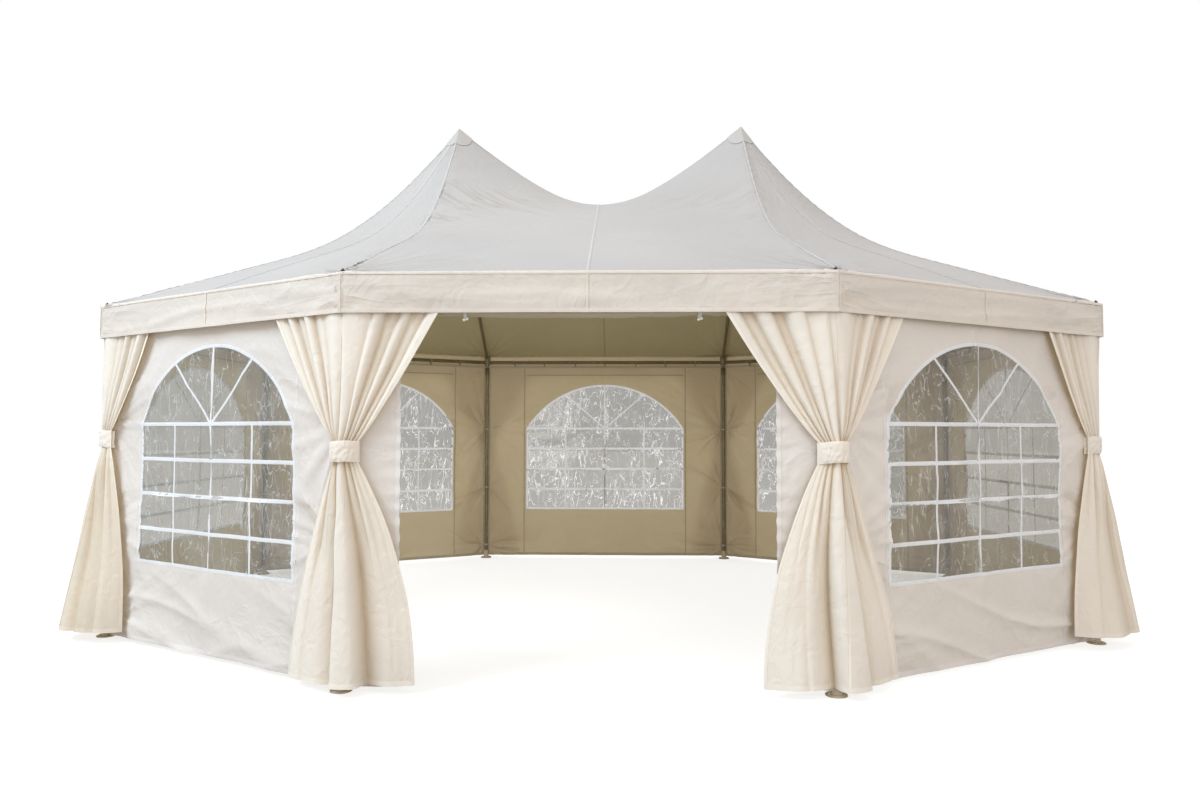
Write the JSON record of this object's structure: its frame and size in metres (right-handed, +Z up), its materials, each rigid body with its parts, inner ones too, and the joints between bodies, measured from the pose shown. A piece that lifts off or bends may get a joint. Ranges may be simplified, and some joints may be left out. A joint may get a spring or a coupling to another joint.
{
  "type": "pagoda tent",
  "caption": "Free-standing party tent on a stretched octagon: steel frame, fabric roof with two pointed peaks, windowed fabric walls, gathered corner curtains and an open front.",
  "frame": {"origin": "middle of the tent on the ground", "axes": "+X along the two peaks to the right as seen from the open front, +Y from the open front to the back, +Z up"},
  "size_m": [7.2272, 5.4272, 4.0297],
  "materials": {
    "frame_steel": "beige powder coat",
    "roof_fabric": "coated off-white tent cloth",
    "wall_fabric": "coated cream tent cloth",
    "curtain_fabric": "soft cream drape",
    "window_film": "clear soft film"
  },
  "bodies": {
    "root": {"post_front_left": "frame_steel", "curtain_front_left": "curtain_fabric", "post_front_right": "frame_steel", "curtain_front_right": "curtain_fabric", "post_right_front": "frame_steel", "curtain_right_front": "curtain_fabric", "post_right_back": "frame_steel", "curtain_right_back": "curtain_fabric", "post_back_right": "frame_steel", "curtain_back_right": "curtain_fabric", "post_back_left": "frame_steel", "curtain_back_left": "curtain_fabric", "post_left_back": "frame_steel", "curtain_left_back": "curtain_fabric", "post_left_front": "frame_steel", "curtain_left_front": "curtain_fabric", "eave_tube_front": "frame_steel", "eave_tube_front_right": "frame_steel", "wall_front_right": "wall_fabric", "window_front_right": "window_film", "eave_tube_right": "frame_steel", "wall_right": "wall_fabric", "window_right": "window_film", "eave_tube_back_right": "frame_steel", "wall_back_right": "wall_fabric", "window_back_right": "window_film", "eave_tube_back": "frame_steel", "wall_back": "wall_fabric", "window_back": "window_film", "eave_tube_back_left": "frame_steel", "wall_back_left": "wall_fabric", "window_back_left": "window_film", "eave_tube_left": "frame_steel", "wall_left": "wall_fabric", "window_left": "window_film", "eave_tube_front_left": "frame_steel", "wall_front_left": "wall_fabric", "window_front_left": "window_film", "peak_frame_left": "frame_steel", "door_strip_left": "wall_fabric", "peak_frame_right": "frame_steel", "door_strip_right": "wall_fabric", "ridge_tube": "frame_steel", "rolled_door": "wall_fabric", "roof_front": "roof_fabric", "roof_front_right": "roof_fabric", "roof_right": "roof_fabric", "roof_back_right": "roof_fabric", "roof_back": "roof_fabric", "roof_back_left": "roof_fabric", "roof_left": "roof_fabric", "roof_front_left": "roof_fabric"}
  },
  "joints": []
}
